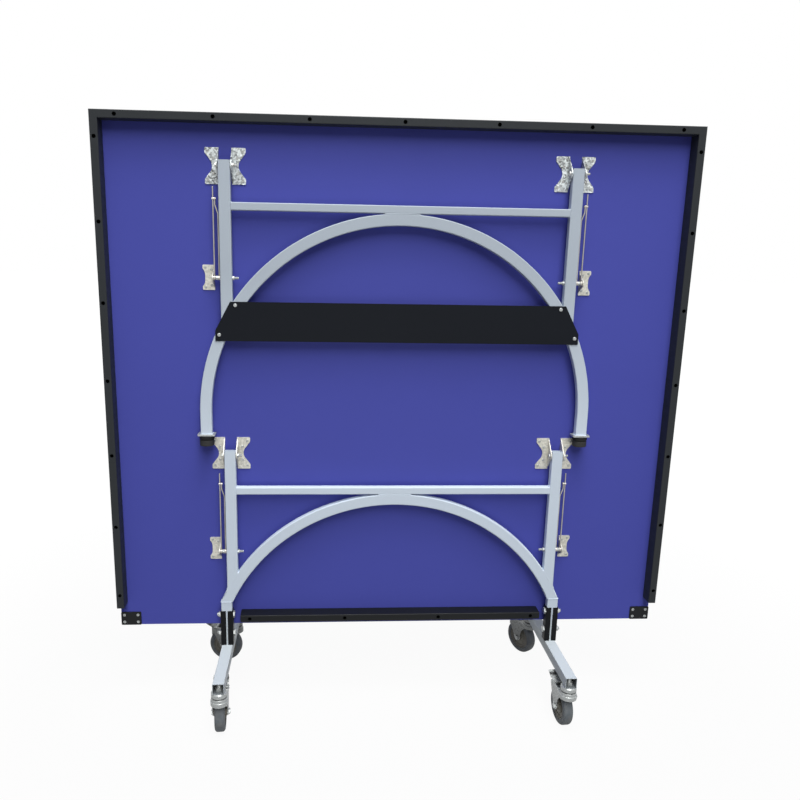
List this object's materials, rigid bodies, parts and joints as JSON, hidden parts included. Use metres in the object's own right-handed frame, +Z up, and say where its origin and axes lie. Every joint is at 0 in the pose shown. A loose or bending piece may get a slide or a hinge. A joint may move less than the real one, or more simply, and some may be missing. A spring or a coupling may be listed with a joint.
{
  "type": "ping pong table half",
  "caption": "Table tennis table half stored upright on a wheeled leg: framed board, folded end leg of arched tube, wire stays and braked swivel casters.",
  "frame": {"origin": "on the floor, at the middle of the footprint", "axes": "+X along the net edge to the right of someone who faces the underside, +Y from the underside towards the playing face, +Z up"},
  "size_m": [1.525, 0.4752, 1.579],
  "materials": {
    "board_paint": "satin blue-violet paint",
    "rim_black": "satin black paint",
    "sign_black": "satin black paint",
    "frame_silver": "silver-grey powder coat",
    "galvanised": "galvanised, with spangle",
    "zinc": "zinc plated",
    "screw_black": "black zinc",
    "wire_steel": "bright zinc",
    "cheek_black": "moulded",
    "foot_rubber": "matt",
    "tyre_grey": "matt grey",
    "hub_grey": "moulded"
  },
  "bodies": {
    "trolley": {"wheel_leg_upright_left": "frame_silver", "wheel_leg_upright_right": "frame_silver", "wheel_leg_crossbar": "frame_silver", "wheel_leg_arch": "frame_silver", "leg_stubs": "frame_silver", "tongue_plates": "frame_silver", "clamp_cheeks": "cheek_black", "cheek_bolts": "zinc", "base_tube_left": "frame_silver", "base_tube_right": "frame_silver", "caster_studs": "zinc", "wheel_leg_stay_bolts": "zinc"},
    "board": {"table_top": "board_paint", "end_rim": "rim_black", "side_rim_left": "rim_black", "side_rim_right": "rim_black", "net_rail": "rim_black", "rim_screws": "screw_black", "net_clamp_plates": "rim_black", "board_screws": "zinc", "hinge_brackets": "galvanised", "hinge_bolts": "zinc", "stay_brackets": "galvanised", "stay_pins": "zinc"},
    "end_leg": {"end_leg_upright_left": "frame_silver", "end_leg_upright_right": "frame_silver", "end_leg_crossbar": "frame_silver", "end_leg_arch": "frame_silver", "sign_panel": "sign_black", "sign_rivets": "zinc", "foot_flanges": "zinc", "end_leg_stay_bolts": "zinc"},
    "foot_left": {"foot_stem_left": "zinc", "foot_pad_left": "foot_rubber"},
    "foot_right": {"foot_stem_right": "zinc", "foot_pad_right": "foot_rubber"},
    "wheel_leg_stay_board_arm_left": {"wheel_leg_stay_board_arm_left": "wire_steel"},
    "wheel_leg_stay_leg_arm_left": {"wheel_leg_stay_leg_arm_left": "wire_steel"},
    "wheel_leg_stay_board_arm_right": {"wheel_leg_stay_board_arm_right": "wire_steel"},
    "wheel_leg_stay_leg_arm_right": {"wheel_leg_stay_leg_arm_right": "wire_steel"},
    "end_leg_stay_board_arm_left": {"end_leg_stay_board_arm_left": "wire_steel"},
    "end_leg_stay_leg_arm_left": {"end_leg_stay_leg_arm_left": "wire_steel"},
    "end_leg_stay_board_arm_right": {"end_leg_stay_board_arm_right": "wire_steel"},
    "end_leg_stay_leg_arm_right": {"end_leg_stay_leg_arm_right": "wire_steel"},
    "fork_front_left": {"caster_fork_front_left": "zinc"},
    "wheel_front_left": {"caster_hub_front_left": "hub_grey", "caster_tyre_front_left": "tyre_grey"},
    "pedal_front_left": {"brake_pedal_front_left": "zinc"},
    "fork_front_right": {"caster_fork_front_right": "zinc"},
    "wheel_front_right": {"caster_hub_front_right": "hub_grey", "caster_tyre_front_right": "tyre_grey"},
    "pedal_front_right": {"brake_pedal_front_right": "zinc"},
    "fork_rear_left": {"caster_fork_rear_left": "zinc"},
    "wheel_rear_left": {"caster_hub_rear_left": "hub_grey", "caster_tyre_rear_left": "tyre_grey"},
    "pedal_rear_left": {"brake_pedal_rear_left": "zinc"},
    "fork_rear_right": {"caster_fork_rear_right": "zinc"},
    "wheel_rear_right": {"caster_hub_rear_right": "hub_grey", "caster_tyre_rear_right": "tyre_grey"},
    "pedal_rear_right": {"brake_pedal_rear_right": "zinc"}
  },
  "joints": [
    {"name": "board_fold", "type": "hinge", "parent": "trolley", "child": "board", "pos_m": [0, -0.03162, 0.715], "axis": [1, 0, 0], "range_deg": [0, 90]},
    {"name": "end_leg_fold", "type": "hinge", "parent": "board", "child": "end_leg", "pos_m": [0, -0.03162, 1.459], "axis": [-1, 0, 0], "range_deg": [0, 90]},
    {"name": "wheel_leg_stay_board_arm_left_turn", "type": "hinge", "parent": "board", "child": "wheel_leg_stay_board_arm_left", "pos_m": [0, -0.03162, 0.44], "axis": [1, 0, 0], "range_deg": [0, 45]},
    {"name": "wheel_leg_stay_leg_arm_left_turn", "type": "hinge", "parent": "trolley", "child": "wheel_leg_stay_leg_arm_left", "pos_m": [0, -0.03162, 0.44], "axis": [-1, 0, 0], "range_deg": [0, 45]},
    {"name": "wheel_leg_stay_board_arm_right_turn", "type": "hinge", "parent": "board", "child": "wheel_leg_stay_board_arm_right", "pos_m": [0, -0.03162, 0.44], "axis": [1, 0, 0], "range_deg": [0, 45]},
    {"name": "wheel_leg_stay_leg_arm_right_turn", "type": "hinge", "parent": "trolley", "child": "wheel_leg_stay_leg_arm_right", "pos_m": [0, -0.03162, 0.44], "axis": [-1, 0, 0], "range_deg": [0, 45]},
    {"name": "end_leg_stay_board_arm_left_turn", "type": "hinge", "parent": "board", "child": "end_leg_stay_board_arm_left", "pos_m": [0, -0.03162, 1.184], "axis": [1, 0, 0], "range_deg": [0, 45]},
    {"name": "end_leg_stay_leg_arm_left_turn", "type": "hinge", "parent": "end_leg", "child": "end_leg_stay_leg_arm_left", "pos_m": [0, -0.03162, 1.184], "axis": [-1, 0, 0], "range_deg": [0, 45]},
    {"name": "end_leg_stay_board_arm_right_turn", "type": "hinge", "parent": "board", "child": "end_leg_stay_board_arm_right", "pos_m": [0, -0.03162, 1.184], "axis": [1, 0, 0], "range_deg": [0, 45]},
    {"name": "end_leg_stay_leg_arm_right_turn", "type": "hinge", "parent": "end_leg", "child": "end_leg_stay_leg_arm_right", "pos_m": [0, -0.03162, 1.184], "axis": [-1, 0, 0], "range_deg": [0, 45]},
    {"name": "foot_left_level", "type": "slide", "parent": "end_leg", "child": "foot_left", "axis": [0, 0, -1], "range_m": [0, 0.01]},
    {"name": "foot_right_level", "type": "slide", "parent": "end_leg", "child": "foot_right", "axis": [0, 0, -1], "range_m": [0, 0.01]},
    {"name": "swivel_front_left", "type": "hinge", "parent": "trolley", "child": "fork_front_left", "pos_m": [-0.46289, -0.21462, 0.118], "axis": [0, 0, 1], "continuous": true},
    {"name": "roll_front_left", "type": "hinge", "parent": "fork_front_left", "child": "wheel_front_left", "pos_m": [-0.46512, -0.1827, 0.05], "axis": [0.9976, 0.0698, 0], "continuous": true},
    {"name": "brake_front_left", "type": "hinge", "parent": "fork_front_left", "child": "pedal_front_left", "pos_m": [-0.46707, -0.15477, 0.103], "axis": [0.9976, 0.0698, 0], "range_deg": [0, 12]},
    {"name": "swivel_front_right", "type": "hinge", "parent": "trolley", "child": "fork_front_right", "pos_m": [0.46289, -0.21462, 0.118], "axis": [0, 0, 1], "continuous": true},
    {"name": "roll_front_right", "type": "hinge", "parent": "fork_front_right", "child": "wheel_front_right", "pos_m": [0.46065, -0.1827, 0.05], "axis": [0.9976, 0.0698, 0], "continuous": true},
    {"name": "brake_front_right", "type": "hinge", "parent": "fork_front_right", "child": "pedal_front_right", "pos_m": [0.4587, -0.15477, 0.103], "axis": [0.9976, 0.0698, 0], "range_deg": [0, 12]},
    {"name": "swivel_rear_left", "type": "hinge", "parent": "trolley", "child": "fork_rear_left", "pos_m": [-0.46289, 0.15138, 0.118], "axis": [0, 0, 1], "continuous": true},
    {"name": "roll_rear_left", "type": "hinge", "parent": "fork_rear_left", "child": "wheel_rear_left", "pos_m": [-0.49407, 0.15857, 0.05], "axis": [0.225, 0.9744, 0], "continuous": true},
    {"name": "brake_rear_left", "type": "hinge", "parent": "fork_rear_left", "child": "pedal_rear_left", "pos_m": [-0.52135, 0.16487, 0.103], "axis": [0.225, 0.9744, 0], "range_deg": [0, 12]},
    {"name": "swivel_rear_right", "type": "hinge", "parent": "trolley", "child": "fork_rear_right", "pos_m": [0.46289, 0.15138, 0.118], "axis": [0, 0, 1], "continuous": true},
    {"name": "roll_rear_right", "type": "hinge", "parent": "fork_rear_right", "child": "wheel_rear_right", "pos_m": [0.4464, 0.17881, 0.05], "axis": [0.8572, 0.515, 0], "continuous": true},
    {"name": "brake_rear_right", "type": "hinge", "parent": "fork_rear_right", "child": "pedal_rear_right", "pos_m": [0.43198, 0.20281, 0.103], "axis": [0.8572, 0.515, 0], "range_deg": [0, 12]}
  ],
  "couplings": [
    {"joint": "wheel_leg_stay_board_arm_left_turn", "follows": "board_fold", "ratio": 0.5},
    {"joint": "wheel_leg_stay_leg_arm_left_turn", "follows": "board_fold", "ratio": 0.5},
    {"joint": "wheel_leg_stay_board_arm_right_turn", "follows": "board_fold", "ratio": 0.5},
    {"joint": "wheel_leg_stay_leg_arm_right_turn", "follows": "board_fold", "ratio": 0.5},
    {"joint": "end_leg_stay_board_arm_left_turn", "follows": "end_leg_fold", "ratio": 0.5},
    {"joint": "end_leg_stay_leg_arm_left_turn", "follows": "end_leg_fold", "ratio": 0.5},
    {"joint": "end_leg_stay_board_arm_right_turn", "follows": "end_leg_fold", "ratio": 0.5},
    {"joint": "end_leg_stay_leg_arm_right_turn", "follows": "end_leg_fold", "ratio": 0.5}
  ]
}
